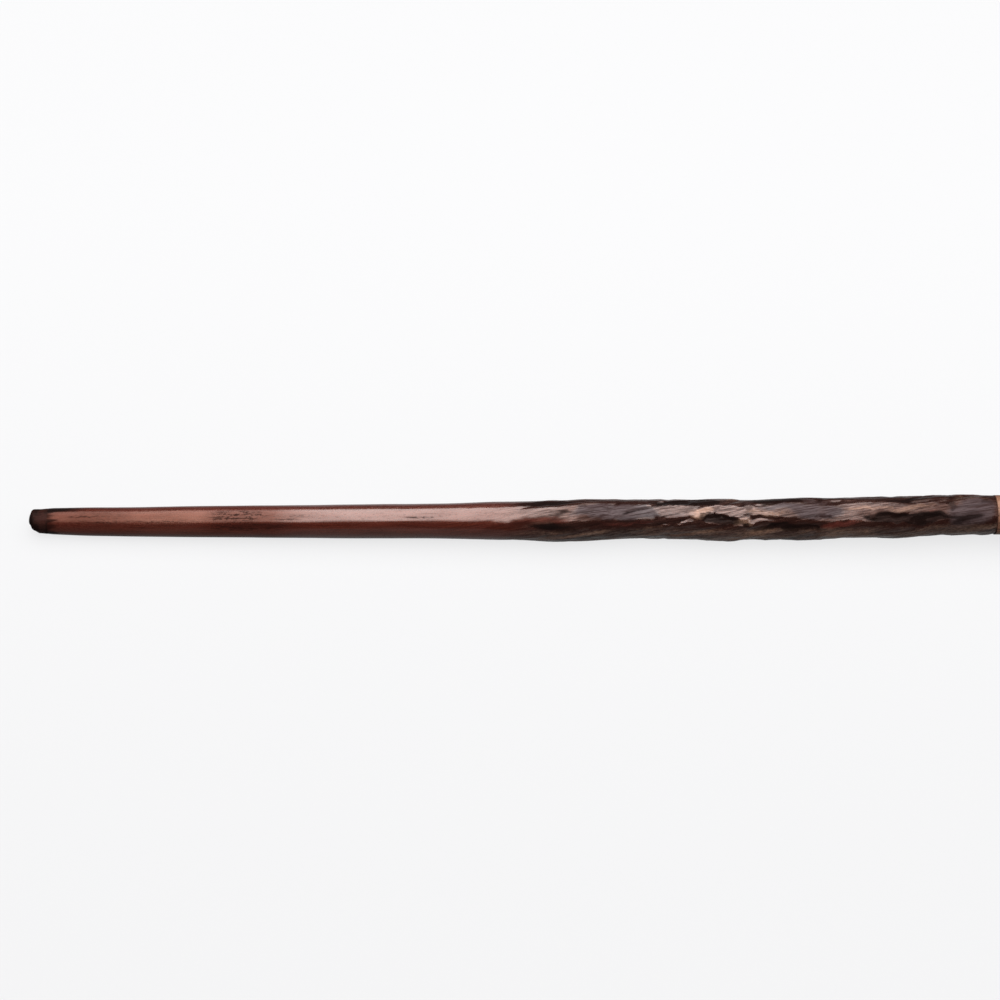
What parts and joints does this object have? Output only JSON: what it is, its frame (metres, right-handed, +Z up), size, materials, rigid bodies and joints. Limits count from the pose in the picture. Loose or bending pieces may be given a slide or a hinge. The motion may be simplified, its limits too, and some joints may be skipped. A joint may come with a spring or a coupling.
{
  "type": "magic wand",
  "caption": "Carved hardwood magic wand with a dark capped tip, a smooth front half, a gnarled rear half, a turned collar, a lobed grip and a six-sided pommel.",
  "frame": {"origin": "on the surface that the wand lies on, under the middle of its box", "axes": "+X along the wand from the tip to the pommel, +Z up, and -Y towards the viewer of its front side; the wand lies on its belly and on one flat of its pommel, so its own axis rises by 0.82 degrees towards the pommel"},
  "size_m": [0.36, 0.0188, 0.0172],
  "materials": {
    "cap_wood": "almost black stained wood under thin varnish",
    "shaft_wood": "reddish brown varnished wood, darker where it is carved",
    "collar_wood": "lighter brown turned wood, varnished",
    "grip_wood": "dark brown carved wood, varnished",
    "steel": "drawn",
    "brass": "turned"
  },
  "bodies": {
    "root": {"tip_cap": "cap_wood", "shaft": "shaft_wood", "core_rod": "steel", "front_collar": "collar_wood", "grip": "grip_wood", "rear_collar": "collar_wood", "pommel": "grip_wood", "pommel_insert": "brass"}
  },
  "joints": []
}
